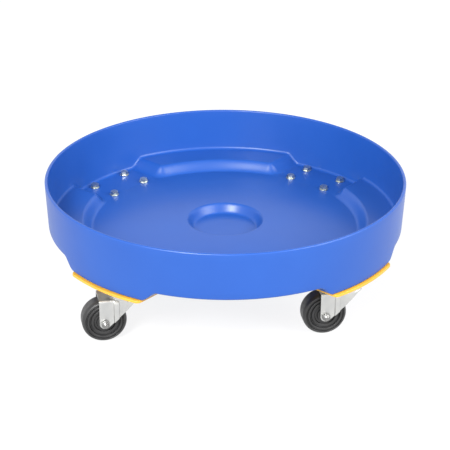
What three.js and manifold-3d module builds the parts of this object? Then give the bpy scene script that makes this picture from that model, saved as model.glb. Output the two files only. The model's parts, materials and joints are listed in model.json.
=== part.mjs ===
// Drum dolly: a round moulded tray on four swivel casters, each bolted through a steel reinforcing plate.
// Millimetres, +Z up, origin on the ground under the centre of the tray. The front is towards -Y.
import * as THREE from "three";
import { mergeVertices } from "three/addons/utils/BufferGeometryUtils.js";
import Module from "manifold-3d";

// ---------- Driving dimensions ----------

const GAP = 0.3; // left between pieces that touch
const OVERLAP = 1; // how far solids that are joined or cut reach into or past each other

// Facets round each kind of circle.
const FACETS = { tray: 72, recess: 36, wheel: 28, race: 20, balls: 16, pin: 12, bolt: 6 };
const ARC_FACETS = { corner: 1, plate: 3, axleEnd: 3, nose: 5 };

const TRAY = {
  height: 213.5, // ground to the top of the lip
  rimRadius: 317.5,
  footRadius: 312.7, // outside of the wall where it meets the pads
  skin: 5.5,
  padBottom: 110.5, // underside of the floor over a caster
  domeRise: 11.5, // the floor's middle above its edge
  domeRadius: 230,
  innerFillet: 6, // between the floor and the wall
  outerFillet: 3,
};

// The drum seats. Their inner edge and ends are slopes, given by their foot and top.
const SEAT = {
  rise: 18, // floor edge up to the drum seat
  innerFoot: 234, // radius at the foot of the inner edge
  innerTop: 256,
  underFoot: 245, // the same, under the tray
  underTop: 260,
  pocketFoot: 68, // half width of the pocket between two seats, at its floor
  pocketTop: 90,
  padFoot: 80, // half width of the caster pad, under the tray
  padTop: 104,
};

const RECESS = { radius: 66, floorRadius: 58, depth: 16.5, rimFillet: 2.5, footFillet: 3 };

const CASTER = {
  height: 105.5,
  radius: 264, // tray centre to kingpin
  trail: 33.5, // kingpin to axle
  plateLength: 104.8,
  plateWidth: 79.4,
  plateThickness: 2.7,
  plateCorner: 8,
  boltSpacingLong: 79.4,
  boltSpacingShort: 50.8,
  slotLength: 14,
};

const WHEEL = {
  radius: 38.1,
  width: 31.8,
  boreRadius: 8.3,
  hubRadius: 14,
  hubProud: 1,
  dishRadius: 16,
  dishDepth: 2,
  flatTread: 9.5, // half width of the cylindrical part of the tread
  shoulder: 6.5,
};

const FORK = {
  sheet: 3,
  outsideHalfWidth: 22,
  crownTop: 81.5,
  endRadius: 9.5,
  slant: THREE.MathUtils.degToRad(42.5), // of the legs' lower edge
  noseStart: 4, // where the sides begin to curve in towards the nose, from the kingpin
  noseFront: -33,
  ribStart: 9,
  ribWidth: 10,
  ribHeight: 2.3,
};

const RACE = {
  level: 93, // centres of the balls
  cupRadius: 29, // dust skirt under the top plate
  skirt: 2.4,
  skirtReach: 2, // down past the centres of the balls
  flare: 3, // where the cup meets the plate
  ballRadius: 3,
  pitchRadius: 21.5,
  trackRadius: 25.6,
  hubRadius: 17,
};

const KINGPIN = {
  radius: 6.3,
  headRadius: 10.8,
  headChamfer: 1.5,
  headSunk: 1, // below the top of the plate
  bottom: 71,
  lowerRadius: 9.8,
  lowerHeight: 3.2,
};

const RACE_CAP = { bottom: 74.5, bottomRadius: 15, topRadius: 19, edge: 1.5 };

const SUPPORT_PLATE = { width: 156, innerEdge: 200, outerRadius: 317, cornerRadius: 9 };

const BOLT = {
  radius: 3.97,
  holeRadius: 4.5,
  acrossFlats: 12.7,
  headHeight: 7.5, // with its washer
  nutHeight: 6.8,
  length: 26,
};

const AXLE = { radius: 4, sleeveRadius: 8, sleeveBore: 4.4, headHeight: 5, nutHeight: 6.6, tail: 2.5 };

// Where each caster stands, and the way its wheel trails, as angles from +X.
const STATIONS = [
  { name: "front_left", azimuth: 225, trail: 188 },
  { name: "front_right", azimuth: 315, trail: 186 },
  { name: "back_right", azimuth: 45, trail: 190 },
  { name: "back_left", azimuth: 135, trail: 190 },
];

// Levels that follow from the driving dimensions.
const FLOOR_TOP = TRAY.padBottom + TRAY.skin;
const SEAT_TOP = FLOOR_TOP + SEAT.rise;
const SEAT_UNDERSIDE = SEAT_TOP - TRAY.skin;
const TOP_PLATE_TOP = CASTER.height - GAP;
const TOP_PLATE_BOTTOM = TOP_PLATE_TOP - CASTER.plateThickness;
const CUP_FLOOR = RACE.level + RACE.ballRadius + GAP; // underside of the cup, on the balls

// ---------- Materials ----------

function material(color, roughness, metalness) {
  return new THREE.MeshStandardMaterial({ color, roughness, metalness });
}

const MATERIALS = {
  tray: () => material(0x2b62d9, 0.35, 0),
  yellow: () => material(0xf2b21c, 0.4, 0),
  zinc: () => material(0xc9c9c4, 0.35, 1),
  steel: () => material(0x9a9b9d, 0.3, 1),
  rubber: () => material(0x3a3a3c, 0.6, 0),
};

// ---------- Solids ----------

const wasm = await Module();
wasm.setup();

function solid(geometry) {
  const bare = new THREE.BufferGeometry();
  bare.setAttribute("position", geometry.getAttribute("position"));
  bare.setIndex(geometry.getIndex());
  const merged = mergeVertices(bare, 1e-4);
  const mesh = new wasm.Mesh({
    numProp: 3,
    vertProperties: merged.attributes.position.array,
    triVerts: new Uint32Array(merged.index.array),
  });
  return new wasm.Manifold(mesh);
}

function union(...solids) {
  return solids.reduce((sum, next) => sum.add(next));
}

function geometryOf(body) {
  const mesh = body.getMesh();
  const geometry = new THREE.BufferGeometry();
  geometry.setAttribute("position", new THREE.BufferAttribute(mesh.vertProperties, 3));
  geometry.setIndex(new THREE.BufferAttribute(mesh.triVerts, 1));
  return geometry;
}

// A solid of revolution about +Z. The profile of [radius, height] pairs runs with the solid on its left.
function turned(profile, segments) {
  const points = profile.map(([radius, height]) => new THREE.Vector2(radius, height));
  return solid(new THREE.LatheGeometry(points, segments).rotateX(Math.PI / 2));
}

// A ring or tube about +Z, whose section closes on itself.
function turnedRing(section, segments) {
  return turned([...section, section[0]], segments);
}

function disc(radius, bottom, top, segments) {
  return turned([[0, bottom], [radius, bottom], [radius, top], [0, top]], segments);
}

// An outline in the XY plane, raised from bottom to top.
function prism(shape, bottom, top, curveSegments = ARC_FACETS.corner) {
  const options = { depth: top - bottom, bevelEnabled: false, curveSegments };
  return solid(new THREE.ExtrudeGeometry(shape, options).translate(0, 0, bottom));
}

// An outline in the XZ plane, thickened from y = near to y = far.
function sidePrism(shape, near, far, curveSegments = ARC_FACETS.corner) {
  const options = { depth: far - near, bevelEnabled: false, curveSegments };
  return solid(new THREE.ExtrudeGeometry(shape, options).rotateX(Math.PI / 2).translate(0, far, 0));
}

function outline(points) {
  return new THREE.Shape(points.map(([x, y]) => new THREE.Vector2(x, y)));
}

function hexagon(acrossFlats) {
  const corner = acrossFlats / Math.sqrt(3);
  const turns = [0, 1, 2, 3, 4, 5].map((i) => (i * Math.PI) / 3);
  return outline(turns.map((turn) => [corner * Math.cos(turn), corner * Math.sin(turn)]));
}

function roundedRectangle(length, width, radius) {
  const shape = new THREE.Shape();
  const x = length / 2 - radius;
  const y = width / 2 - radius;
  shape.absarc(x, y, radius, 0, Math.PI / 2);
  shape.absarc(-x, y, radius, Math.PI / 2, Math.PI);
  shape.absarc(-x, -y, radius, Math.PI, Math.PI * 1.5);
  shape.absarc(x, -y, radius, Math.PI * 1.5, Math.PI * 2);
  return shape;
}

// ---------- Tray ----------

function wallRadius(height) {
  const draft = (TRAY.rimRadius - TRAY.footRadius) / (TRAY.height - TRAY.padBottom);
  return TRAY.footRadius + draft * (height - TRAY.padBottom);
}

function domeHeight(radius) {
  return TRAY.domeRise * Math.max(0, 1 - (radius / TRAY.domeRadius) ** 2);
}

// The domed floor as profile points from the middle out, with its edge at the given level.
function dome(level) {
  return [0, 60, 120, 180, TRAY.domeRadius].map((radius) => [radius, level + domeHeight(radius)]);
}

function trayShell() {
  const { skin, padBottom, innerFillet, outerFillet } = TRAY;
  const lip = skin / 2;
  const lipArc = [0, 45, 90, 135, 180].map((degrees) => {
    const angle = THREE.MathUtils.degToRad(degrees);
    return [TRAY.rimRadius - lip + lip * Math.cos(angle), TRAY.height - lip + lip * Math.sin(angle)];
  });
  return turned(
    [
      ...dome(padBottom),
      [wallRadius(padBottom) - outerFillet, padBottom],
      [wallRadius(padBottom + outerFillet), padBottom + outerFillet],
      ...lipArc,
      [wallRadius(FLOOR_TOP + innerFillet) - skin, FLOOR_TOP + innerFillet],
      [wallRadius(FLOOR_TOP) - skin - innerFillet, FLOOR_TOP],
      ...dome(FLOOR_TOP).reverse(),
    ],
    FACETS.tray,
  );
}

// A slope from foot to top as three straight runs, steepest in the middle, in [distance, height] pairs.
function slope(foot, top, low, high) {
  const across = (share) => foot + (top - foot) * share;
  const up = (share) => low + (high - low) * share;
  return [[foot, low], [across(0.25), up(0.12)], [across(0.75), up(0.88)], [top, high]];
}

// A long bar along +X, where a pad or a pocket runs out to the wall, wider at its top.
function bar(foot, top, low, high) {
  const right = slope(foot, top, low, high);
  const section = [[foot, low - OVERLAP], ...right, [top, high + OVERLAP]];
  const mirrored = section.map(([y, z]) => [-y, z]).reverse();
  const start = TRAY.domeRadius / 2;
  const end = 1.1 * TRAY.rimRadius;
  return sidePrism(outline([...section, ...mirrored]), -end, -start).rotate([0, 0, 90]);
}

function cutBars(body, bars) {
  return STATIONS.reduce((rest, { azimuth }) => rest.subtract(bars.rotate([0, 0, azimuth])), body);
}

// The drum seats: a raised ring, cut away over the casters.
function seats() {
  const wall = wallRadius(SEAT_TOP) - TRAY.skin / 2;
  const bottom = TRAY.padBottom + OVERLAP;
  const ring = turnedRing(
    [
      [SEAT.innerFoot, bottom],
      [wall, bottom],
      [wall, SEAT_TOP],
      ...slope(SEAT.innerFoot, SEAT.innerTop, FLOOR_TOP, SEAT_TOP).reverse(),
    ],
    FACETS.tray,
  );
  return cutBars(ring, bar(SEAT.pocketFoot, SEAT.pocketTop, FLOOR_TOP, SEAT_TOP));
}

// The hollows under the seats, between the caster pads.
function seatHollows() {
  const beyond = TRAY.rimRadius + OVERLAP;
  const below = TRAY.padBottom - OVERLAP;
  const ring = turnedRing(
    [
      [SEAT.underFoot, below],
      [beyond, below],
      [beyond, SEAT_UNDERSIDE],
      ...slope(SEAT.underFoot, SEAT.underTop, TRAY.padBottom, SEAT_UNDERSIDE).reverse(),
    ],
    FACETS.tray,
  );
  return cutBars(ring, bar(SEAT.padFoot, SEAT.padTop, TRAY.padBottom, SEAT_UNDERSIDE));
}

function recessBowl() {
  const { radius, floorRadius, depth, footFillet } = RECESS;
  const bottom = TRAY.padBottom + TRAY.domeRise - depth;
  const rim = TRAY.padBottom + domeHeight(radius) + OVERLAP;
  return turned(
    [
      [0, bottom],
      [floorRadius + TRAY.skin - footFillet, bottom],
      [floorRadius + TRAY.skin, bottom + footFillet],
      [radius + TRAY.skin, rim],
      [0, rim],
    ],
    FACETS.recess,
  );
}

function recessHollow() {
  const { radius, floorRadius, depth, rimFillet, footFillet } = RECESS;
  const bottom = FLOOR_TOP + TRAY.domeRise - depth;
  const rim = FLOOR_TOP + domeHeight(radius);
  const above = FLOOR_TOP + TRAY.domeRise + OVERLAP;
  return turned(
    [
      [0, bottom],
      [floorRadius - footFillet, bottom],
      [floorRadius + 1, bottom + footFillet],
      [radius - 1, rim - rimFillet],
      [radius + rimFillet, rim],
      [radius + rimFillet, above],
      [0, above],
    ],
    FACETS.recess,
  );
}

function boltPositions() {
  const along = CASTER.boltSpacingShort / 2;
  const across = CASTER.boltSpacingLong / 2;
  return [[1, 1], [-1, 1], [-1, -1], [1, -1]].map(([x, y]) => [CASTER.radius + x * along, y * across]);
}

function boltHole([x, y], bottom, top) {
  return disc(BOLT.holeRadius, bottom, top, FACETS.bolt).translate([x, y, 0]);
}

function trayBody() {
  let body = trayShell().add(seats()).subtract(seatHollows());
  body = body.add(recessBowl()).subtract(recessHollow());
  for (const station of STATIONS) {
    for (const position of boltPositions()) {
      const hole = boltHole(position, TRAY.padBottom - OVERLAP, FLOOR_TOP + OVERLAP);
      body = body.subtract(hole.rotate([0, 0, station.azimuth]));
    }
  }
  return geometryOf(body);
}

// ---------- Pieces fixed under each pad ----------

function supportPlate() {
  const { width, innerEdge, outerRadius, cornerRadius } = SUPPORT_PLATE;
  const half = width / 2;
  const sweep = Math.asin((half - cornerRadius) / (outerRadius - cornerRadius));
  const corner = (outerRadius - cornerRadius) * Math.cos(sweep);
  const shape = new THREE.Shape();
  shape.absarc(innerEdge + cornerRadius, cornerRadius - half, cornerRadius, Math.PI, Math.PI * 1.5);
  shape.absarc(corner, cornerRadius - half, cornerRadius, -Math.PI / 2, -sweep);
  shape.absarc(0, 0, outerRadius, -sweep, sweep);
  shape.absarc(corner, half - cornerRadius, cornerRadius, sweep, Math.PI / 2);
  shape.absarc(innerEdge + cornerRadius, half - cornerRadius, cornerRadius, Math.PI / 2, Math.PI);
  let body = prism(shape, CASTER.height, TRAY.padBottom - GAP, ARC_FACETS.plate);
  for (const position of boltPositions()) {
    body = body.subtract(boltHole(position, CASTER.height - OVERLAP, TRAY.padBottom));
  }
  return geometryOf(body);
}

// The top plate's middle is pressed down into a cup that holds the balls and the kingpin's head.
function topPlate() {
  const { cupRadius, skirt } = RACE;
  const skirtEnd = RACE.level - RACE.skirtReach;
  const inPlate = TOP_PLATE_BOTTOM + OVERLAP;
  const cup = turned(
    [
      [0, CUP_FLOOR],
      [cupRadius - skirt, CUP_FLOOR],
      [cupRadius - skirt, skirtEnd],
      [cupRadius, skirtEnd],
      [cupRadius + RACE.flare, inPlate],
      [0, inPlate],
    ],
    FACETS.race,
  );
  const above = TOP_PLATE_TOP + OVERLAP;
  const headSeat = disc(KINGPIN.headRadius + GAP, CUP_FLOOR + CASTER.plateThickness, above, FACETS.pin);
  const pinHole = disc(KINGPIN.radius + GAP, CUP_FLOOR - OVERLAP, above, FACETS.pin);
  const outlineShape = roundedRectangle(CASTER.plateWidth, CASTER.plateLength, CASTER.plateCorner);
  let body = prism(outlineShape, TOP_PLATE_BOTTOM, TOP_PLATE_TOP);
  body = body.add(cup).subtract(headSeat).subtract(pinHole);
  for (const [x, y] of boltPositions()) {
    const slot = roundedRectangle(2 * BOLT.holeRadius, CASTER.slotLength, 0.99 * BOLT.holeRadius);
    const cut = prism(slot, TOP_PLATE_BOTTOM - OVERLAP, above);
    body = body.subtract(cut.translate([x - CASTER.radius, y, 0]));
  }
  return geometryOf(body);
}

function kingpin() {
  const { radius, headRadius, headChamfer, bottom, lowerRadius, lowerHeight } = KINGPIN;
  const headBottom = CUP_FLOOR + CASTER.plateThickness + GAP;
  const headTop = TOP_PLATE_TOP - KINGPIN.headSunk;
  return geometryOf(
    turned(
      [
        [0, bottom],
        [0.8 * lowerRadius, bottom],
        [lowerRadius, bottom + lowerHeight / 2],
        [lowerRadius, bottom + lowerHeight],
        [radius, bottom + lowerHeight],
        [radius, headBottom],
        [headRadius, headBottom],
        [headRadius - headChamfer, headTop],
        [0, headTop],
      ],
      FACETS.pin,
    ),
  );
}

// The cap that the kingpin's lower head holds against the underside of the crown.
function raceCap() {
  const { bottom, bottomRadius, topRadius, edge } = RACE_CAP;
  const top = FORK.crownTop - FORK.sheet - GAP;
  const hole = KINGPIN.radius + GAP;
  const outside = [[bottomRadius, bottom], [topRadius, top - edge], [topRadius, top]];
  return geometryOf(turnedRing([[hole, bottom], ...outside, [hole, top]], FACETS.pin));
}

// A mounting bolt with its nut, from the head on the tray's floor to its end under the top plate.
function mountingBolt() {
  const headBottom = FLOOR_TOP + GAP;
  const nutTop = TOP_PLATE_BOTTOM - GAP;
  return geometryOf(
    union(
      prism(hexagon(BOLT.acrossFlats), headBottom, headBottom + BOLT.headHeight),
      disc(BOLT.radius, headBottom - BOLT.length, headBottom + OVERLAP, FACETS.bolt),
      prism(hexagon(BOLT.acrossFlats), nutTop - BOLT.nutHeight, nutTop),
    ),
  );
}

// ---------- Pieces that swivel ----------

const FORK_REAR = CASTER.trail + FORK.endRadius;

// The side of the fork, seen along the axle: x runs from the kingpin towards the axle.
function forkSide(top) {
  const { endRadius, slant } = FORK;
  const startAngle = -Math.PI / 2 - slant;
  const tangentX = CASTER.trail + endRadius * Math.cos(startAngle);
  const tangentZ = WHEEL.radius + endRadius * Math.sin(startAngle);
  const shape = new THREE.Shape();
  shape.moveTo(tangentX - (top - tangentZ) / Math.tan(slant), top);
  shape.absarc(CASTER.trail, WHEEL.radius, endRadius, startAngle, 0);
  shape.lineTo(FORK_REAR, top);
  return shape;
}

// The fork from above: straight sides that curve in to a nose, drawn in from its outside by inset.
function forkPlan(inset, rear) {
  const half = FORK.outsideHalfWidth - inset;
  const { noseStart, noseFront } = FORK;
  const shape = new THREE.Shape();
  shape.moveTo(rear, -half);
  shape.lineTo(rear, half);
  shape.absellipse(noseStart, 0, noseStart - noseFront - inset, half, Math.PI / 2, Math.PI * 1.5);
  return shape;
}

function rib(sides) {
  const { outsideHalfWidth, ribStart, ribWidth, ribHeight } = FORK;
  const end = ribStart + ribWidth;
  const raised = outsideHalfWidth + ribHeight;
  const section = outline([
    [ribStart, outsideHalfWidth - OVERLAP],
    [end, outsideHalfWidth - OVERLAP],
    [end, outsideHalfWidth],
    [end - ribHeight, raised],
    [ribStart + ribHeight, raised],
    [ribStart, outsideHalfWidth],
  ]);
  return prism(section, 0, FORK.crownTop - OVERLAP).intersect(sides);
}

function fork() {
  const { sheet, crownTop } = FORK;
  const { hubRadius, trackRadius, ballRadius } = RACE;
  const reach = FORK.outsideHalfWidth + FORK.ribHeight + OVERLAP;
  const sides = sidePrism(forkSide(crownTop), -reach, reach, ARC_FACETS.axleEnd);
  const outer = forkPlan(0, FORK_REAR);
  const inner = forkPlan(sheet, FORK_REAR + OVERLAP);
  const inside = prism(inner, -OVERLAP, crownTop + OVERLAP, ARC_FACETS.nose);
  const walls = prism(outer, 0, crownTop, ARC_FACETS.nose).subtract(inside).intersect(sides);
  const crown = prism(outer, crownTop - sheet, crownTop, ARC_FACETS.nose);
  const ribs = rib(sides).add(rib(sides).mirror([0, 1, 0]));
  const track = RACE.level - ballRadius - GAP;
  const hubTop = RACE.level + ballRadius;
  const race = turned(
    [
      [0, crownTop - OVERLAP],
      [trackRadius, crownTop - OVERLAP],
      [trackRadius, track],
      [hubRadius, track],
      [hubRadius, hubTop],
      [0, hubTop],
    ],
    FACETS.race,
  );
  const pinHole = disc(KINGPIN.radius + GAP, 0, hubTop + OVERLAP, FACETS.pin);
  const axleHole = disc(AXLE.radius + GAP, -reach, reach, FACETS.pin)
    .rotate([90, 0, 0])
    .translate([CASTER.trail, 0, WHEEL.radius]);
  const body = union(crown, walls, ribs, race);
  return geometryOf(body.subtract(pinHole).subtract(axleHole));
}

function ballRow() {
  const { pitchRadius, ballRadius } = RACE;
  const section = [0, 1, 2, 3, 4, 5].map((i) => {
    const angle = (i * Math.PI) / 3;
    return [pitchRadius + ballRadius * Math.cos(angle), RACE.level + ballRadius * Math.sin(angle)];
  });
  return geometryOf(turnedRing(section, FACETS.balls));
}

// The axle bolt, its nut and the wheel lie along their own Z until they are turned onto the axle.

const FORK_OUTSIDE = FORK.outsideHalfWidth + GAP;

function axleBolt() {
  const end = FORK_OUTSIDE + AXLE.nutHeight + AXLE.tail;
  const head = prism(hexagon(BOLT.acrossFlats), -FORK_OUTSIDE - AXLE.headHeight, -FORK_OUTSIDE);
  return geometryOf(head.add(disc(AXLE.radius, -FORK_OUTSIDE - OVERLAP, end, FACETS.pin)));
}

function axleNut() {
  const end = FORK_OUTSIDE + AXLE.nutHeight;
  const nut = prism(hexagon(BOLT.acrossFlats), FORK_OUTSIDE, end);
  return geometryOf(nut.subtract(disc(AXLE.radius + GAP, 0, end + OVERLAP, FACETS.pin)));
}

function wheelSleeve() {
  const end = FORK.outsideHalfWidth - FORK.sheet - GAP;
  const { sleeveBore, sleeveRadius } = AXLE;
  const section = [[sleeveBore, -end], [sleeveRadius, -end], [sleeveRadius, end], [sleeveBore, end]];
  return geometryOf(turnedRing(section, FACETS.pin));
}

function wheel() {
  const { radius, hubRadius, shoulder } = WHEEL;
  const face = WHEEL.width / 2;
  const hubFace = face + WHEEL.hubProud;
  const side = [
    [WHEEL.boreRadius, hubFace],
    [hubRadius, hubFace],
    [WHEEL.dishRadius, face - WHEEL.dishDepth],
    [radius - shoulder, face],
    [radius - 0.4 * shoulder, face - 0.15 * shoulder],
    [radius, WHEEL.flatTread],
  ];
  const otherSide = side.map(([r, z]) => [r, -z]);
  return geometryOf(turnedRing([...otherSide, ...side.reverse()], FACETS.wheel));
}

// ---------- Assembly ----------

const dolly = new THREE.Group();

function add(parent, name, geometry, makeMaterial) {
  const mesh = new THREE.Mesh(geometry, makeMaterial());
  mesh.name = name;
  parent.add(mesh);
  return mesh;
}

function addOnAxle(parent, name, geometry, makeMaterial) {
  const mesh = add(parent, name, geometry, makeMaterial);
  mesh.position.set(CASTER.trail, 0, WHEEL.radius);
  mesh.rotation.x = -Math.PI / 2;
}

function addStation({ name, azimuth, trail }) {
  const pad = new THREE.Group();
  pad.rotation.z = THREE.MathUtils.degToRad(azimuth);
  dolly.add(pad);
  add(pad, `${name}_support_plate`, supportPlate(), MATERIALS.yellow);
  boltPositions().forEach(([x, y], i) => {
    add(pad, `${name}_bolt_${i + 1}`, mountingBolt(), MATERIALS.steel).position.set(x, y, 0);
  });
  add(pad, `${name}_top_plate`, topPlate(), MATERIALS.zinc).position.x = CASTER.radius;
  add(pad, `${name}_kingpin`, kingpin(), MATERIALS.steel).position.x = CASTER.radius;
  add(pad, `${name}_race_cap`, raceCap(), MATERIALS.zinc).position.x = CASTER.radius;

  const swivel = new THREE.Group();
  swivel.position.x = CASTER.radius;
  swivel.rotation.z = THREE.MathUtils.degToRad(trail - azimuth);
  pad.add(swivel);
  add(swivel, `${name}_fork`, fork(), MATERIALS.zinc);
  add(swivel, `${name}_ball_row`, ballRow(), MATERIALS.steel);
  addOnAxle(swivel, `${name}_axle_bolt`, axleBolt(), MATERIALS.steel);
  addOnAxle(swivel, `${name}_axle_nut`, axleNut(), MATERIALS.steel);
  addOnAxle(swivel, `${name}_wheel`, wheel(), MATERIALS.rubber);
  addOnAxle(swivel, `${name}_wheel_sleeve`, wheelSleeve(), MATERIALS.steel);
}

add(dolly, "tray", trayBody(), MATERIALS.tray);
STATIONS.forEach(addStation);

export default dolly;
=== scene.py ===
"""Looks of the drum dolly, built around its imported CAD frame. Shapes are worked out in millimetres."""
import json
import math
from collections import namedtuple

import bmesh
import bpy
import numpy as np
from mathutils import Matrix, Vector


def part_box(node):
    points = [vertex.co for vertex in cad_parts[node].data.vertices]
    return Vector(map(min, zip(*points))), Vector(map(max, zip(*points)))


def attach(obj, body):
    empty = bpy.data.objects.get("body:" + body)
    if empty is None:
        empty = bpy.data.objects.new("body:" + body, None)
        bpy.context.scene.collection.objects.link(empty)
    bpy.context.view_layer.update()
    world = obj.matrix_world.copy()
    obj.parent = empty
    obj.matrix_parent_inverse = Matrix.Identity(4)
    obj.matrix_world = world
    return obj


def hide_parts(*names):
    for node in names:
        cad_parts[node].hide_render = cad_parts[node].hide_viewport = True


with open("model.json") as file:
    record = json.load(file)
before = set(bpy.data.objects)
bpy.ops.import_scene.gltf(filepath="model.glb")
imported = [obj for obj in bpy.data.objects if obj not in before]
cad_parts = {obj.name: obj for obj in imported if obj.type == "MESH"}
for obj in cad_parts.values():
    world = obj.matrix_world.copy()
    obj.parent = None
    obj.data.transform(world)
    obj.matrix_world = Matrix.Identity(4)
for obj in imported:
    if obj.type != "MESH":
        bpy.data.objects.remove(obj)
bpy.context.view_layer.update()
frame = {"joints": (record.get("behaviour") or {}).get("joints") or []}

MM = 0.001
QUARTER = math.pi / 2

# ---------- Driving sizes, in millimetres ----------

GAP = 0.3  # between pieces that lie against each other

rim_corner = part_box("tray")[1] / MM
TRAY_TOP = rim_corner.z
RIM_RADIUS = rim_corner.x
SKIN = 5.5
PAD_BOTTOM = 110.5
FLOOR_TOP = PAD_BOTTOM + SKIN

CASTER_HEIGHT = 105.5
CASTER_RADIUS = 264.0  # from the middle of the tray to a kingpin
TRAIL = 33.5  # from the kingpin to the axle
PLATE_THICKNESS = 2.7
PLATE_TOP = CASTER_HEIGHT - GAP
PLATE_BOTTOM = PLATE_TOP - PLATE_THICKNESS

BOLT_ALONG = 50.8 / 2
BOLT_ACROSS = 79.4 / 2
BOLT_SPOTS = [(x * BOLT_ALONG, y * BOLT_ACROSS) for x, y in ((1, 1), (-1, 1), (-1, -1), (1, -1))]
BOLT_HOLE = 4.5  # holes and bores are given by their radius
NUT_BORE = 4.1
HEX_FLATS = 12.7
THREAD_PITCH = 1.41

STATIONS = ("front_left", "front_right", "back_right", "back_left")


def smoothstep(x, low, high):
    t = min(1.0, max(0.0, (x - low) / (high - low)))
    return t * t * (3 - 2 * t)


# ---------- Mesh helpers ----------


def add_object(name, data):
    obj = bpy.data.objects.new(name, data)
    bpy.context.scene.collection.objects.link(obj)
    return obj


def weld(mesh, distance):
    """Merges points closer than distance and turns the faces outwards."""
    work = bmesh.new()
    work.from_mesh(mesh)
    bmesh.ops.remove_doubles(work, verts=work.verts, dist=distance)
    bmesh.ops.recalc_face_normals(work, faces=work.faces)
    work.to_mesh(mesh)
    work.free()


def new_object(name, vertices, faces):
    """An object from points in millimetres."""
    mesh = bpy.data.meshes.new(name)
    mesh.from_pydata([[c * MM for c in v] for v in vertices], [], faces)
    weld(mesh, 1e-7)
    return add_object(name, mesh)


def evaluated_mesh(obj):
    bpy.context.view_layer.update()
    graph = bpy.context.evaluated_depsgraph_get()
    return bpy.data.meshes.new_from_object(obj.evaluated_get(graph))


def apply_modifiers(obj):
    mesh = evaluated_mesh(obj)
    obj.modifiers.clear()
    obj.data = mesh
    return obj


def combine(obj, other, operation):
    """Joins other to obj, or cuts it out of obj, and removes other."""
    modifier = obj.modifiers.new("combine", "BOOLEAN")
    modifier.operation = operation
    modifier.solver = "EXACT"
    modifier.object = other
    apply_modifiers(obj)
    bpy.data.objects.remove(other)


def shade(obj, sharp_angle=50):
    """Smooth shading that keeps flat faces flat and sharp edges sharp."""
    for polygon in obj.data.polygons:
        polygon.use_smooth = True
    obj.data.set_sharp_from_angle(angle=math.radians(sharp_angle))
    modifier = obj.modifiers.new("flat faces", "WEIGHTED_NORMAL")
    modifier.keep_sharp = True
    return apply_modifiers(obj)


def bevel(obj, width, least_angle=35):
    """Small rounded edges where faces meet sharply."""
    modifier = obj.modifiers.new("edges", "BEVEL")
    modifier.width = width * MM
    modifier.segments = 2
    modifier.limit_method = "ANGLE"
    modifier.angle_limit = math.radians(least_angle)
    modifier.miter_outer = "MITER_ARC"
    return apply_modifiers(obj)


def arc(x, y, radius, start, end, steps):
    return [(x + radius * math.cos(a), y + radius * math.sin(a)) for a in np.linspace(start, end, steps + 1)]


def circle(x, y, radius, segments=24):
    turns = [2 * math.pi * i / segments for i in range(segments)]
    return [(x + radius * math.cos(a), y + radius * math.sin(a)) for a in turns]


def rounded(points, steps=4):
    """A closed outline. A point given as (x, y, radius) becomes an arc of that radius."""
    path = []
    for i, point in enumerate(points):
        here = Vector(point[:2])
        if len(point) == 2:
            path.append(tuple(here))
            continue
        back = (Vector(points[i - 1][:2]) - here).normalized()
        ahead = (Vector(points[(i + 1) % len(points)][:2]) - here).normalized()
        half = back.angle(ahead) / 2
        centre = here + (back + ahead).normalized() * point[2] / math.sin(half)
        reach = point[2] / math.tan(half)
        start, end = here + back * reach - centre, here + ahead * reach - centre
        turn = start.angle_signed(end)
        for k in range(steps + 1):
            arm = start.copy()
            arm.rotate(Matrix.Rotation(-turn * k / steps, 2))
            path.append(tuple(centre + arm))
    return path


def rectangle(x, y, half_x, half_y, corner, steps):
    """The outline of a rectangle with round corners, about x and y."""
    return rounded([
        (x - half_x, y - half_y, corner), (x + half_x, y - half_y, corner),
        (x + half_x, y + half_y, corner), (x - half_x, y + half_y, corner),
    ], steps)


def lathe(name, section, segments=64):
    """A solid of revolution about Z from a closed (radius, height) section, with poles at radius 0."""
    turns = [2 * math.pi * i / segments for i in range(segments)]
    rows, vertices = [], []
    for radius, height in section:
        if radius < 1e-6:
            rows.append([len(vertices)] * segments)
            vertices.append((0, 0, height))
        else:
            rows.append(range(len(vertices), len(vertices) + segments))
            vertices += [(radius * math.cos(a), radius * math.sin(a), height) for a in turns]
    faces = []
    for low, high in zip(rows, rows[1:] + rows[:1]):
        for i in range(segments):
            j = (i + 1) % segments
            face = list(dict.fromkeys((low[i], low[j], high[j], high[i])))
            if len(face) > 2:
                faces.append(face)
    return new_object(name, vertices, faces)


def turned(name, points, segments, steps=4):
    """A finished lathe piece from a section whose points may carry a rounding radius."""
    return shade(lathe(name, rounded(points, steps), segments))


def disc(radius, bottom, top, segments=32):
    return lathe("disc", [(0, bottom), (radius, bottom), (radius, top), (0, top)], segments)


def plate(name, outline, holes, bottom, top, edge):
    """A flat plate with holes and rounded edges, from outlines in the XY plane."""
    curve = bpy.data.curves.new(name, "CURVE")
    curve.dimensions = "2D"
    curve.fill_mode = "BOTH"
    curve.extrude = ((top - bottom) / 2 - edge) * MM
    curve.bevel_depth = edge * MM
    curve.bevel_resolution = 2
    curve.offset = -edge * MM
    for path in [outline, *holes]:
        spline = curve.splines.new("POLY")
        spline.points.add(len(path) - 1)
        for point, (x, y) in zip(spline.points, path):
            point.co = (x * MM, y * MM, 0, 1)
        spline.use_cyclic_u = True
    source = add_object(name, curve)
    mesh = evaluated_mesh(source)
    bpy.data.objects.remove(source)
    mesh.transform(Matrix.Translation((0, 0, (bottom + top) / 2 * MM)))
    weld(mesh, 1e-6)
    return add_object(name, mesh)


def tube_faces(rows, columns):
    """Faces between rows of points that each go once round an axis."""
    faces = []
    for low, high in ((k * columns, (k + 1) * columns) for k in range(rows - 1)):
        for i in range(columns):
            j = (i + 1) % columns
            faces.append((low + i, low + j, high + j, high + i))
    return faces


def end_faces(rows, columns):
    """Caps for the first and the last row of tube_faces."""
    return [tuple(reversed(range(columns))), tuple(range((rows - 1) * columns, rows * columns))]


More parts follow.
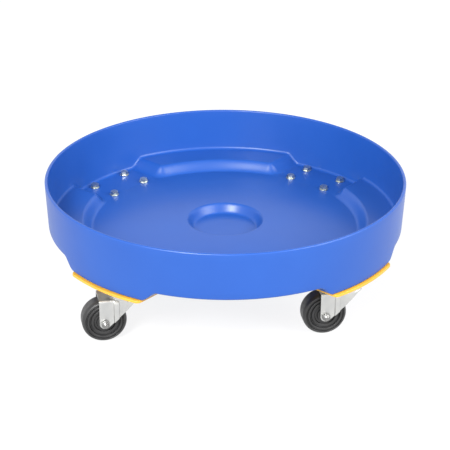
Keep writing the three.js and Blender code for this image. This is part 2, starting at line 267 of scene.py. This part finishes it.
def hexagon_solid(name, bottom, top, bore=0.0, collar=0.0):
    """A hexagon about Z: a nut where it has a bore, chamfered at both ends, or else a head chamfered on top.
    A collar stands round and narrower above the top."""
    sixth, per_side = math.pi / 3, 6
    turns = [sixth * (i / per_side) for i in range(6 * per_side)]
    flat = HEX_FLATS / 2
    reach = [flat / math.cos((a + sixth / 2) % sixth - sixth / 2) for a in turns]
    face = flat * 0.96  # the round end face lies just inside the flats
    slope = math.tan(math.radians(30))
    low_slope = slope if bore else 0.0
    lift = 0.02  # keeps the corners just off the plane of the end face

    def ring(radius, height):
        return [(radius, height)] * len(turns)

    rings = [
        ring(face, bottom),
        [(r, bottom + (r - face) * low_slope + lift) for r in reach],
        [(r, top - (r - face) * slope) for r in reach],
        ring(face, top),
    ]
    if collar:
        foot, draft, shoulder = face - 0.6, 0.3, 1.0
        rings.append(ring(foot, top))
        top += collar
        rings.append(ring(foot - draft, top - shoulder))
        rings.append(ring(foot - draft - shoulder, top))
    if bore:
        rings = [ring(bore, bottom), *rings, ring(bore, top), ring(bore, bottom)]
    vertices = [
        (r * math.cos(a), r * math.sin(a), z) for row in rings for (r, z), a in zip(row, turns)
    ]
    faces = tube_faces(len(rings), len(turns))
    if not bore:
        faces += end_faces(len(rings), len(turns))
    return new_object(name, vertices, faces)


def threaded_rod(radius, bottom, top, thread_top):
    """A shank about Z whose lower part, up to thread_top, carries a helical thread."""
    segments, per_pitch = 24, 6
    depth, tip = 0.6 * THREAD_PITCH, 1.0
    rows = int((thread_top - bottom) / THREAD_PITCH * per_pitch)
    heights = [bottom + i * THREAD_PITCH / per_pitch for i in range(rows + 1)] + [top]
    vertices = []
    for z in heights:
        for i in range(segments):
            phase = (z / THREAD_PITCH - i / segments) % 1.0
            cut = depth * abs(2 * phase - 1) * smoothstep(thread_top - z, 0, 2 * THREAD_PITCH)
            taper = max(0.0, bottom + tip - z)
            r = radius - max(cut, taper)
            angle = 2 * math.pi * i / segments
            vertices.append((r * math.cos(angle), r * math.sin(angle), z))
    faces = tube_faces(len(heights), segments) + end_faces(len(heights), segments)
    return new_object("shank", vertices, faces)


# ---------- Tray ----------

WALL_FOOT_RADIUS = 312.7  # outside of the wall at the level of the pads' underside
DOME_RISE = 11.5
DOME_RADIUS = 236.0
DOME_BLEND = 0.6  # how softly the dome runs out
PAD_LEVEL_RADIUS = 250.0  # from here outwards the pads are level
PAD_EASE = 22.0  # width over which the dome eases into them
SEAT_RISE = 18.0
RECESS_DEPTH = 16.5

# A surface of the floor: its level at the pads, radii at the foot and top of the seats' inner slope,
# half widths of a pad at the foot and top of the seats' end slopes, and radii at the floor and edge of
# the recess.
Surface = namedtuple("Surface", "level seat_slope seat_ends recess_slope")
INSIDE = Surface(FLOOR_TOP, (235.0, 255.0), (67.0, 91.0), (55.0, 69.0))
UNDERSIDE = Surface(PAD_BOTTOM, (243.0, 258.0), (78.5, 105.0), (60.0, 74.0))


def wall_radius(z):
    """Outside radius of the wall, which leans out a little towards the lip."""
    lean = (RIM_RADIUS - WALL_FOOT_RADIUS) / (TRAY_TOP - PAD_BOTTOM)
    return WALL_FOOT_RADIUS + lean * (z - PAD_BOTTOM)


def dome_height(radius):
    """Rise of the floor towards its middle, easing out level at the pads."""
    parabola = DOME_RISE * (1 - (radius / DOME_RADIUS) ** 2)
    dome = (parabola + math.hypot(parabola, DOME_BLEND)) / 2
    return dome * smoothstep(PAD_LEVEL_RADIUS - radius, 0.0, PAD_EASE)


def surface_height(surface, radius, turn):
    """Height of a surface of the floor, with its dome, drum seats and recess."""
    from_pad = abs(turn % QUARTER - QUARTER / 2)
    seat = smoothstep(radius * math.sin(from_pad), *surface.seat_ends)
    seat *= smoothstep(radius, *surface.seat_slope)
    bowl = 1 - smoothstep(radius, *surface.recess_slope)
    return surface.level + dome_height(radius) + SEAT_RISE * seat - RECESS_DEPTH * bowl


def turn_samples():
    """Azimuths round the tray, closer together at the ends of the drum seats."""
    ends_from, ends_to, mirror = 12.0, 25.0, 45.0  # degrees from the middle of a pad
    half = np.concatenate([
        np.linspace(0.0, ends_from, 6, endpoint=False),
        np.linspace(ends_from, ends_to, 34, endpoint=False),
        np.linspace(ends_to, mirror, 9, endpoint=False),
    ])
    quarter = np.concatenate([half, 2 * mirror - np.append(half[1:], mirror)[::-1]])
    return np.radians(np.sort(np.concatenate([quarter + 90 * k for k in range(4)])) + mirror)


def floor_radii(edge):
    """Radii of the floor's rows out to edge, closer together over the slopes of the recess and the seats."""
    recess_from, recess_to = INSIDE.recess_slope[0] - 3, UNDERSIDE.recess_slope[1] + 2
    seats_from, seats_to = INSIDE.seat_slope[0] - 3, UNDERSIDE.seat_slope[1] + 2
    return np.concatenate([
        np.linspace(12.0, recess_from - 8, 3),
        np.linspace(recess_from, recess_to, 17),
        np.linspace(recess_to + 8, seats_from - 6, 15),
        np.linspace(seats_from, seats_to, 36),
        np.linspace(seats_to + 6, edge, 7),
    ])


def tray_profile(turn):
    """The tray's section at one azimuth, from the middle of the floor over the lip and back underneath."""
    foot_fillet, corner_fillet, lip = 5.5, 3.0, SKIN / 2
    inside_edge = wall_radius(FLOOR_TOP) - SKIN - foot_fillet
    points = [(r, surface_height(INSIDE, r, turn)) for r in floor_radii(inside_edge)]
    fillet_middle = surface_height(INSIDE, inside_edge, turn) + foot_fillet
    for x, z in arc(inside_edge, fillet_middle, foot_fillet, -QUARTER, 0, 7)[1:]:
        points.append((x + wall_radius(z) - wall_radius(FLOOR_TOP), z))
    lip_middle = TRAY_TOP - lip
    points += [(wall_radius(z) - SKIN, z) for z in np.linspace(fillet_middle, lip_middle, 7)[1:]]
    points += arc(wall_radius(lip_middle) - lip, lip_middle, lip, math.pi, 0, 12)[1:]
    outside_edge = wall_radius(PAD_BOTTOM) - corner_fillet
    corner_middle = surface_height(UNDERSIDE, outside_edge, turn) + corner_fillet
    points += [(wall_radius(z), z) for z in np.linspace(lip_middle, corner_middle, 9)[1:]]
    for x, z in arc(outside_edge, corner_middle, corner_fillet, 0, -QUARTER, 5)[1:]:
        share = (x - outside_edge) / corner_fillet
        points.append((x + (wall_radius(z) - wall_radius(PAD_BOTTOM)) * share, z))
    points += [(r, surface_height(UNDERSIDE, r, turn)) for r in floor_radii(outside_edge)[-2::-1]]
    return points


def make_tray():
    turns = turn_samples()
    sections = [tray_profile(turn) for turn in turns]
    rows = len(sections[0])
    vertices = [
        (r * math.cos(turn), r * math.sin(turn), z)
        for turn, section in zip(turns, sections)
        for r, z in section
    ]
    top_pole, bottom_pole = len(vertices), len(vertices) + 1
    middle = DOME_RISE - RECESS_DEPTH
    vertices += [(0, 0, FLOOR_TOP + middle), (0, 0, PAD_BOTTOM + middle)]
    faces = []
    for i in range(len(turns)):
        here, there = i * rows, (i + 1) % len(turns) * rows
        faces.append((top_pole, there, here))
        faces += [(here + k, there + k, there + k + 1, here + k + 1) for k in range(rows - 1)]
        faces.append((bottom_pole, here + rows - 1, there + rows - 1))
    tray = new_object("moulded_tray", vertices, faces)
    for polygon in tray.data.polygons:
        polygon.use_smooth = True
    return tray


def make_support_plate():
    """The yellow plate under a pad that lies towards +X, about the middle of the tray."""
    half, inner_edge, outer_radius, corner = 78.0, 200.0, 317.0, 9.0
    inset = outer_radius - corner
    sweep = math.asin((half - corner) / inset)
    middle = inset * math.cos(sweep)
    outline = arc(inner_edge + corner, corner - half, corner, 2 * QUARTER, 3 * QUARTER, 8)
    outline += arc(middle, corner - half, corner, -QUARTER, -sweep, 8)[:-1]
    outline += arc(0, 0, outer_radius, -sweep, sweep, 40)
    outline += arc(middle, half - corner, corner, sweep, QUARTER, 8)[1:]
    outline += arc(inner_edge + corner, half - corner, corner, QUARTER, 2 * QUARTER, 8)
    holes = [circle(CASTER_RADIUS + x, y, BOLT_HOLE) for x, y in BOLT_SPOTS]
    return shade(plate("support_plate", outline, holes, CASTER_HEIGHT, PAD_BOTTOM - GAP, edge=0.7))


# ---------- Caster: plate, pin, race and fork about the kingpin, with the axle on the side of +X ----------

PLATE_HALF_WIDTH = 39.7
PLATE_HALF_LENGTH = 52.4

PIN_RADIUS = 6.3
PIN_HEAD_RADIUS = 10.8
PIN_HOLE = PIN_RADIUS + GAP
RIVET_TOP = 74.2  # upper face of the pin's riveted end

BALL_LEVEL = 93.0
BALL_RADIUS = 3.0
BALL_PITCH = 21.5
BALL_COUNT = 18
RACE_RADIUS = 25.6
RACE_HUB_RADIUS = 17.0
CUP_FLOOR = BALL_LEVEL + BALL_RADIUS + GAP

FORK_SHEET = 3.0
FORK_HALF_WIDTH = 22.0
CROWN_TOP = 81.5
FOLD_RADIUS = 4.5
FOLD_START = CROWN_TOP - FOLD_RADIUS
LEG_END_RADIUS = 9.5
LEG_SLANT = math.radians(42.5)
SLANT_BLEND = 1.5  # how softly the slant runs in under the fold
NOSE_START = 4.0
NOSE_FRONT = -33.0
NOSE_LENGTH = NOSE_START - NOSE_FRONT
RIB_MIDDLE = 14.0
RIB_HALF_WIDTH = 5.4
RIB_HEIGHT = 2.3
RIB_FLANK = 1.8
RIB_FADE = (1.0, 7.0)  # depths below the crown between which the rib rises
AXLE_HOLE = 4.3

WHEEL_RADIUS = 38.1
WHEEL_HALF_WIDTH = 15.9
ONTO_AXLE = Matrix.Rotation(-QUARTER, 4, "X")  # lays a piece made about Z along the axle


def side_samples():
    """X of the fork's columns from its rear edge to the tip of the nose."""
    end = TRAIL + LEG_END_RADIUS * np.cos(np.linspace(0.0, QUARTER + LEG_SLANT, 18))
    straight = np.linspace(end[-1], NOSE_START, 24)[1:]
    nose = NOSE_START - NOSE_LENGTH * np.sin(np.linspace(0.0, QUARTER, 22))[1:]
    return np.concatenate([end, straight, nose])


def lower_edge(x):
    """Height of the fork's lower edge: round the axle end, then a slant up to the nose."""
    tangent_x = TRAIL - LEG_END_RADIUS * math.sin(LEG_SLANT)
    tangent_z = WHEEL_RADIUS - LEG_END_RADIUS * math.cos(LEG_SLANT)
    if x < tangent_x:
        slant = tangent_z + (tangent_x - x) * math.tan(LEG_SLANT)
        return (slant + FOLD_START - math.hypot(slant - FOLD_START, SLANT_BLEND)) / 2
    return WHEEL_RADIUS - math.sqrt(max(0.0, LEG_END_RADIUS**2 - (x - TRAIL) ** 2))


def plan_point(x, inset):
    """A point of the fork's outline seen from above, drawn in by inset."""
    half = FORK_HALF_WIDTH - inset
    if x >= NOSE_START:
        return x, half
    share = min(1.0, (NOSE_START - x) / NOSE_LENGTH)
    return NOSE_START - share * max(0.0, NOSE_LENGTH - inset), half * math.sqrt(max(0.0, 1 - share * share))


def fork_column(x):
    """The fork's sheet above one point of its outline, as inset and z of its outer and of its inner skin."""
    column = [(0.0, z, FORK_SHEET, z) for z in np.linspace(lower_edge(x), FOLD_START, 16)]
    inner_radius = FOLD_RADIUS - FORK_SHEET
    for a in np.linspace(0.0, QUARTER, 7)[1:]:
        column.append((
            FOLD_RADIUS * (1 - math.cos(a)), FOLD_START + FOLD_RADIUS * math.sin(a),
            FOLD_RADIUS - inner_radius * math.cos(a), FOLD_START + inner_radius * math.sin(a),
        ))
    for inset in np.linspace(FOLD_RADIUS, FORK_HALF_WIDTH, 6)[1:]:
        column.append((inset, CROWN_TOP, inset, CROWN_TOP - FORK_SHEET))
    return column


def fork_sheet():
    """The pressed sheet: crown, two legs with a rib each, and the round nose between them."""
    xs = side_samples()
    path = [(x, 1.0) for x in xs] + [(x, -1.0) for x in xs[-2::-1]]
    outer, inner = [], []
    for x, side in path:
        rib = RIB_HEIGHT * smoothstep(RIB_HALF_WIDTH - abs(x - RIB_MIDDLE), 0, RIB_FLANK)
        for inset, z, inner_inset, inner_z in fork_column(x):
            raised = rib * smoothstep(CROWN_TOP - z, *RIB_FADE)
            px, py = plan_point(x, inset)
            outer.append((px, side * (py + raised), z))
            px, py = plan_point(x, inner_inset)
            inner.append((px, side * (py + raised), inner_z))
    rows, offset = len(path), len(outer)
    columns = offset // rows
    faces = []
    for r in range(rows - 1):
        for c in range(columns - 1):
            a, b = r * columns + c, (r + 1) * columns + c
            faces.append((a, a + 1, b + 1, b))
            faces.append((offset + a, offset + b, offset + b + 1, offset + a + 1))
    rim = list(range(columns - 1, 0, -1))
    rim += [r * columns for r in range(rows - 1)]
    rim += [(rows - 1) * columns + c for c in range(columns)]
    for a, b in zip(rim, rim[1:]):
        faces.append((a, b, offset + b, offset + a))
    return new_object("fork", outer + inner, faces)


def make_fork():
    fork = fork_sheet()
    inner, bottom = 4.0, CROWN_TOP - 1.5
    track, hub_top = BALL_LEVEL - BALL_RADIUS - GAP, BALL_LEVEL + BALL_RADIUS
    race = lathe("race", rounded([
        (inner, bottom), (RACE_RADIUS, bottom, 0.6), (RACE_RADIUS, track, 1.2),
        (RACE_HUB_RADIUS, track, 1.5), (RACE_HUB_RADIUS, hub_top, 0.8), (inner, hub_top),
    ]))
    combine(fork, race, "UNION")
    combine(fork, disc(PIN_HOLE, CROWN_TOP - 24, BALL_LEVEL + 10), "DIFFERENCE")
    reach = 60  # well past both legs
    axle_hole = disc(AXLE_HOLE, -reach, reach)
    axle_hole.matrix_world = Matrix.Translation((TRAIL * MM, 0, WHEEL_RADIUS * MM)) @ ONTO_AXLE
    combine(fork, axle_hole, "DIFFERENCE")
    return shade(bevel(fork, 0.4))


def make_top_plate():
    """A slotted plate with the cup that the balls run in pressed into it."""
    corner, slot_reach, slot_corner = 8, 7, BOLT_HOLE - 0.01
    outline = rectangle(0, 0, PLATE_HALF_WIDTH, PLATE_HALF_LENGTH, corner, steps=8)
    slots = [rectangle(x, y, BOLT_HOLE, slot_reach, slot_corner, steps=6) for x, y in BOLT_SPOTS]
    top = plate("top_plate", outline, slots, PLATE_BOTTOM, PLATE_TOP, edge=0.6)
    inside, outside, flare = RACE_RADIUS + 1, 29.0, 33.0
    skirt, flare_top = BALL_LEVEL - 2, PLATE_BOTTOM + 1.2
    cup = lathe("cup", rounded([
        (0, CUP_FLOOR), (inside, CUP_FLOOR, 1.5), (inside, skirt, 0.7), (outside, skirt, 0.9),
        (outside, CUP_FLOOR, 1.0), (flare, flare_top, 3.0), (0, flare_top),
    ], 5), 72)
    combine(top, cup, "UNION")
    above = PLATE_TOP + 5
    combine(top, disc(PIN_HEAD_RADIUS + GAP, CUP_FLOOR + PLATE_THICKNESS, above, 40), "DIFFERENCE")
    combine(top, disc(PIN_HOLE, CUP_FLOOR - 5, above, 40), "DIFFERENCE")
    return shade(top)


def make_kingpin():
    """A rivet, with its head in the cup and its riveted end under the race cap."""
    head, top = CUP_FLOOR + PLATE_THICKNESS + GAP, PLATE_TOP - 1
    end_radius, bottom = 9.8, 71.0
    return turned("kingpin", [
        (0, bottom), (6.5, bottom + 0.2, 2.0), (end_radius, RIVET_TOP - 0.7, 0.8),
        (end_radius, RIVET_TOP, 0.2), (PIN_RADIUS, RIVET_TOP), (PIN_RADIUS, head),
        (PIN_HEAD_RADIUS, head, 0.3), (10.2, top, 1.2), (0, top),
    ], 48)


def make_race_cap():
    """The dish under the fork's crown."""
    bottom, top = RIVET_TOP + GAP, CROWN_TOP - FORK_SHEET - GAP
    foot, rim = 15.0, 19.0
    return turned("race_cap", [
        (PIN_HOLE, bottom), (foot, bottom, 2.0), (rim, top - 1.4, 0.8), (rim, top, 0.3), (PIN_HOLE, top),
    ], 56)


def make_ball_row():
    balls = []
    for x, y in circle(0, 0, BALL_PITCH, BALL_COUNT):
        ball = lathe("ball_row", arc(0, 0, BALL_RADIUS, -QUARTER, QUARTER, 8), 16)
        ball.data.transform(Matrix.Translation((x * MM, y * MM, BALL_LEVEL * MM)))
        balls.append(ball)
    with bpy.context.temp_override(active_object=balls[0], selected_editable_objects=balls):
        bpy.ops.object.join()
    return shade(balls[0])


# ---------- Wheel and axle, about the axle ----------


def make_wheel():
    """Hard rubber wheel: crowned tread, round shoulders, and ringed faces."""
    bore, hub, ring, web, face = 8.2, 17.0, 15.0, 12.4, WHEEL_HALF_WIDTH
    groove = face - 2.8
    half = [
        (bore, hub), (13.0, hub, 0.8), (14.2, web + 0.2, 0.8), (17.6, web, 0.6), (18.8, ring, 0.8),
        (22.8, ring, 0.8), (23.8, web, 0.4), (25.4, web, 0.4), (26.6, face, 0.8), (29.4, face, 0.8),
        (30.4, groove, 0.4), (31.8, groove, 0.4), (32.8, face - 0.3, 0.8),
        (35.6, face - 1.6, 3.0), (37.7, 10.5, 3.5), (WHEEL_RADIUS, 8.0, 6.0),
    ]
    mirrored = [(radius, -height, *rounding) for radius, height, *rounding in reversed(half)]
    return turned("wheel", [*half, (WHEEL_RADIUS, 0.0), *mirrored], 112)


def make_sleeve():
    bore, outside, end = 4.4, 8.0, 18.7
    return turned("sleeve", [
        (bore, -end, 0.3), (outside, -end, 0.5), (outside, end, 0.5), (bore, end, 0.3),
    ], 40, steps=3)


def make_axle_bolt():
    """A bolt made tip downwards and then turned over, so that its head is at the lower end."""
    face, head_height = FORK_HALF_WIDTH + GAP, 5.0
    radius, past_nut, into_head, thread_inside = 4.0, 9.2, 1.0, 8.0
    turn_over = Matrix.Rotation(math.pi, 4, "X")
    head = hexagon_solid("axle_bolt", -head_height, 0.0)
    head.data.transform(Matrix.Translation((0, 0, (-face - head_height) * MM)) @ turn_over)
    shank = threaded_rod(radius, -face - past_nut, face + into_head, -face + thread_inside)
    shank.data.transform(turn_over)
    combine(head, shank, "UNION")
    return shade(head)


def make_axle_nut():
    """A lock nut, whose collar holds the ring that grips the thread."""
    face, height = FORK_HALF_WIDTH + GAP, 5.2
    return shade(bevel(hexagon_solid("axle_nut", face, face + height, bore=NUT_BORE, collar=1.4), 0.2))


# ---------- Mounting bolts, each about its own axis ----------

WASHER_BOTTOM = FLOOR_TOP + 0.1
WASHER_TOP = FLOOR_TOP + 1.7
LOCK_WASHER_BOTTOM = PLATE_BOTTOM - 0.25
LOCK_WASHER_TOP = PLATE_BOTTOM - 0.05


def make_mounting_bolt():
    """A bolt whose head stands on a washer on the tray's floor."""
    radius, seat, head_height = 3.97, WASHER_TOP + 0.2, 5.7
    tip, into_head, thread_top = FLOOR_TOP + GAP - 26, 1, PLATE_BOTTOM + 2
    bolt = hexagon_solid("bolt", seat, seat + head_height)
    shank = threaded_rod(radius, tip, seat + into_head, thread_top)
    combine(bolt, shank, "UNION")
    return shade(bolt)


def make_washer(radius, bottom, top):
    bore = 4.2
    return turned("washer", [
        (bore, bottom, 0.2), (radius, bottom, 0.4), (radius, top, 0.4), (bore, top, 0.2),
    ], 48, steps=2)


def make_nut():
    top, height = PLATE_BOTTOM - GAP, 6.8
    return shade(bevel(hexagon_solid("nut", top - height, top, bore=NUT_BORE), 0.2))


# ---------- Materials ----------


class Look:
    """A material whose shader sockets are set by name or varied by noise in the piece's own space."""

    def __init__(self, name, **sockets):
        self.material = bpy.data.materials.new(name)
        self.material.use_nodes = True
        self.nodes = self.material.node_tree.nodes
        self.links = self.material.node_tree.links
        self.shader = self.nodes["Principled BSDF"]
        for socket, value in sockets.items():
            self.shader.inputs[socket.replace("_", " ")].default_value = value

    def noise(self, scale, detail, stretch=None):
        place = self.nodes.new("ShaderNodeTexCoord").outputs["Object"]
        if stretch:
            mapping = self.nodes.new("ShaderNodeMapping")
            mapping.inputs["Scale"].default_value = stretch
            self.links.new(place, mapping.inputs["Vector"])
            place = mapping.outputs["Vector"]
        texture = self.nodes.new("ShaderNodeTexNoise")
        texture.inputs["Scale"].default_value = scale
        texture.inputs["Detail"].default_value = detail
        self.links.new(place, texture.inputs["Vector"])
        return texture.outputs["Fac"]

    def vary(self, socket, low, high, **noise):
        """Lets a noise run a socket between two values or two colours."""
        ramp = self.nodes.new("ShaderNodeValToRGB")
        for stop, position, value in zip(ramp.color_ramp.elements, (0.3, 0.7), (low, high)):
            stop.position = position
            stop.color = value if isinstance(value, tuple) else (value, value, value, 1)
        self.links.new(self.noise(**noise), ramp.inputs["Fac"])
        self.links.new(ramp.outputs["Color"], self.shader.inputs[socket])

    def bump(self, depth, **noise):
        node = self.nodes.new("ShaderNodeBump")
        node.inputs["Strength"].default_value = 1.0
        node.inputs["Distance"].default_value = depth
        self.links.new(self.noise(**noise), node.inputs["Height"])
        self.links.new(node.outputs["Normal"], self.shader.inputs["Normal"])


def polyethylene():
    look = Look("polyethylene", IOR=1.44, Specular_Tint=(1.0, 1.0, 0.72, 1))
    look.vary("Base Color", (0.0096, 0.060, 0.288, 1), (0.0110, 0.066, 0.306, 1), scale=9, detail=3)
    look.vary("Roughness", 0.32, 0.39, scale=5, detail=3)
    return look.material


def powder_coat():
    look = Look("yellow_powder_coat")
    look.vary("Base Color", (0.55, 0.285, 0.022, 1), (0.60, 0.32, 0.032, 1), scale=20, detail=3)
    look.vary("Roughness", 0.34, 0.46, scale=90, detail=2)
    look.bump(0.00006, scale=900, detail=2)
    return look.material


def zinc_plate():
    look = Look("zinc_plate", Metallic=1.0)
    look.vary("Base Color", (0.50, 0.505, 0.50, 1), (0.60, 0.60, 0.58, 1), scale=45, detail=4)
    look.vary("Roughness", 0.30, 0.46, scale=160, detail=3, stretch=(1, 1, 0.25))
    look.bump(0.00002, scale=700, detail=2, stretch=(1, 1, 0.2))
    return look.material


def bright_steel():
    look = Look("bright_steel", Metallic=1.0)
    look.vary("Base Color", (0.52, 0.55, 0.49, 1), (0.66, 0.69, 0.62, 1), scale=120, detail=3)
    look.vary("Roughness", 0.24, 0.38, scale=300, detail=2)
    return look.material


def axle_steel():
    look = Look("axle_steel", Metallic=1.0)
    look.vary("Base Color", (0.20, 0.20, 0.20, 1), (0.30, 0.30, 0.29, 1), scale=120, detail=3)
    look.vary("Roughness", 0.36, 0.48, scale=300, detail=2)
    return look.material


def hard_rubber():
    look = Look("hard_rubber", IOR=1.5)
    look.vary("Base Color", (0.010, 0.010, 0.0105, 1), (0.020, 0.020, 0.0205, 1), scale=60, detail=4)
    look.vary("Roughness", 0.34, 0.5, scale=140, detail=3)
    look.bump(0.00004, scale=1300, detail=2)
    return look.material


# ---------- Assembly ----------

BOLT_TURN = math.radians(17)  # each bolt of a station is turned this much further than the one before


def dress(obj, material):
    obj.data.materials.clear()
    obj.data.materials.append(material)
    return obj


def place(master, name, matrix, body, node, slot):
    """A copy of a master piece at matrix, riding on body and standing for a CAD node."""
    piece = add_object(name, master.data)
    piece.matrix_world = matrix
    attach(piece, body)
    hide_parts(node)


def joint_point(name):
    return Vector(next(joint for joint in frame["joints"] if joint["name"] == name)["pos_m"])


def assemble_station(station, masters):
    """Copies of the masters for one caster and its pad, placed from the caster's two joints."""
    kingpin = joint_point(f"{station}_turn")
    axle = joint_point(f"{station}_roll")
    pad = Matrix.Rotation(math.atan2(kingpin.y, kingpin.x), 4, "Z")
    trailing = Matrix.Rotation(math.atan2(axle.y - kingpin.y, axle.x - kingpin.x), 4, "Z")
    on_floor = Matrix.Translation((kingpin.x, kingpin.y, 0))
    fixed, swivel = on_floor @ pad, on_floor @ trailing
    on_axle = Matrix.Translation(axle) @ trailing @ ONTO_AXLE
    for matrix, body, parts in (
        (pad, "root", ("support_plate",)),
        (fixed, "root", ("top_plate", "kingpin", "race_cap")),
        (swivel, f"{station}_swivel", ("fork", "ball_row")),
        (on_axle, f"{station}_swivel", ("axle_bolt", "axle_nut")),
        (on_axle, f"{station}_roller", ("wheel", "wheel_sleeve")),
    ):
        for part in parts:
            master, slot = masters[part]
            place(master, f"{part}_{station}", matrix, body, f"{station}_{part}", slot)
    for i, (x, y) in enumerate(BOLT_SPOTS, 1):
        spot = Matrix.Translation(((CASTER_RADIUS + x) * MM, y * MM, 0))
        matrix = pad @ spot @ Matrix.Rotation(BOLT_TURN * i, 4, "Z")
        for part in ("bolt", "washer", "lock_washer", "nut"):
            master, slot = masters[part]
            place(master, f"{part}_{i}_{station}", matrix, "root", f"{station}_bolt_{i}", slot)


def build_dolly():
    blue, yellow, zinc = polyethylene(), powder_coat(), zinc_plate()
    steel, dull, rubber = bright_steel(), axle_steel(), hard_rubber()
    tray = dress(make_tray(), blue)
    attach(tray, "root")
    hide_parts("tray")
    masters = {}
    for part, shape, material, slot in (
        ("support_plate", make_support_plate(), yellow, "yellow_paint"),
        ("top_plate", make_top_plate(), zinc, "zinc"),
        ("kingpin", make_kingpin(), steel, "steel"),
        ("race_cap", make_race_cap(), zinc, "zinc"),
        ("fork", make_fork(), zinc, "zinc"),
        ("ball_row", make_ball_row(), steel, "steel"),
        ("axle_bolt", make_axle_bolt(), dull, "steel"),
        ("axle_nut", make_axle_nut(), dull, "steel"),
        ("wheel", make_wheel(), rubber, "rubber"),
        ("wheel_sleeve", make_sleeve(), steel, "steel"),
        ("bolt", make_mounting_bolt(), steel, "steel"),
        ("washer", make_washer(8.7, WASHER_BOTTOM, WASHER_TOP), steel, "steel"),
        ("lock_washer", make_washer(7.0, LOCK_WASHER_BOTTOM, LOCK_WASHER_TOP), steel, "steel"),
        ("nut", make_nut(), steel, "steel"),
    ):
        masters[part] = dress(shape, material), slot
    for station in STATIONS:
        assemble_station(station, masters)
    for master, _ in masters.values():
        bpy.data.objects.remove(master)


# ---------- Stage, in metres ----------

CAMERA_AZIMUTH = math.radians(-4.5)
CAMERA_ELEVATION = math.radians(25.42)
CAMERA_ROLL = math.radians(0.35)
CAMERA_DISTANCE = 2.688
CAMERA_TARGET = Vector((-0.0003, 0, 0.1139))
LIGHT_TARGET = Vector((0, 0, 0.15))

SKY_AT_HORIZON = 1.45
SKY_OVERHEAD = 0.38
SKY_FADE = (0.4, 0.8)  # the upward part of a view direction between which the sky dims
FLOOR_GLOW = 0.84


def add_camera():
    """A long lens on the dolly from a quarter above, a little left of its front."""
    camera = add_object("camera", bpy.data.cameras.new("camera"))
    camera.data.lens = 120
    camera.data.sensor_width = 36
    level_part = math.cos(CAMERA_ELEVATION)
    back = Vector((
        math.sin(CAMERA_AZIMUTH) * level_part,
        -math.cos(CAMERA_AZIMUTH) * level_part,
        math.sin(CAMERA_ELEVATION),
    ))
    camera.location = CAMERA_TARGET + back * CAMERA_DISTANCE
    level = (-back).to_track_quat("-Z", "Y").to_matrix()
    camera.rotation_euler = (level @ Matrix.Rotation(CAMERA_ROLL, 3, "Z")).to_euler()
    bpy.context.scene.camera = camera


def add_light(name, location, size, power):
    light = add_object(name, bpy.data.lights.new(name, "AREA"))
    light.data.size = size
    light.data.energy = power
    light.location = location
    light.rotation_euler = (LIGHT_TARGET - Vector(location)).to_track_quat("-Z", "Y").to_euler()


def add_sky():
    """White surroundings, bright at the horizon and dimmer overhead."""
    world = bpy.data.worlds.new("studio")
    world.use_nodes = True
    nodes, links = world.node_tree.nodes, world.node_tree.links
    direction = nodes.new("ShaderNodeTexCoord").outputs["Generated"]
    split = nodes.new("ShaderNodeSeparateXYZ")
    links.new(direction, split.inputs["Vector"])
    fade = nodes.new("ShaderNodeMapRange")
    fade.inputs["From Min"].default_value, fade.inputs["From Max"].default_value = SKY_FADE
    fade.inputs["To Min"].default_value = SKY_AT_HORIZON
    fade.inputs["To Max"].default_value = SKY_OVERHEAD
    links.new(split.outputs["Z"], fade.inputs["Value"])
    background = nodes["Background"]
    background.inputs["Color"].default_value = (1, 1, 1, 1)
    links.new(fade.outputs["Result"], background.inputs["Strength"])
    bpy.context.scene.world = world


def add_floor():
    """A pale floor that glows, so that it is near white and still takes a soft shadow."""
    bpy.ops.mesh.primitive_plane_add(size=14, location=(0, 2, 0))
    floor = bpy.context.object
    floor.name = "floor"
    look = Look(
        "pale_floor", Base_Color=(0.12, 0.12, 0.12, 1), Roughness=0.9,
        Emission_Color=(1, 1, 1, 1), Emission_Strength=FLOOR_GLOW,
    )
    dress(floor, look.material)


def add_stage():
    add_sky()
    add_floor()
    add_light("key", (-1.4, -2.7, 2.4), size=1.2, power=235)
    add_light("fill", (2.6, -1.6, 2.0), size=2.2, power=140)
    bpy.context.scene.view_settings.view_transform = "Standard"


build_dolly()
add_camera()
add_stage()
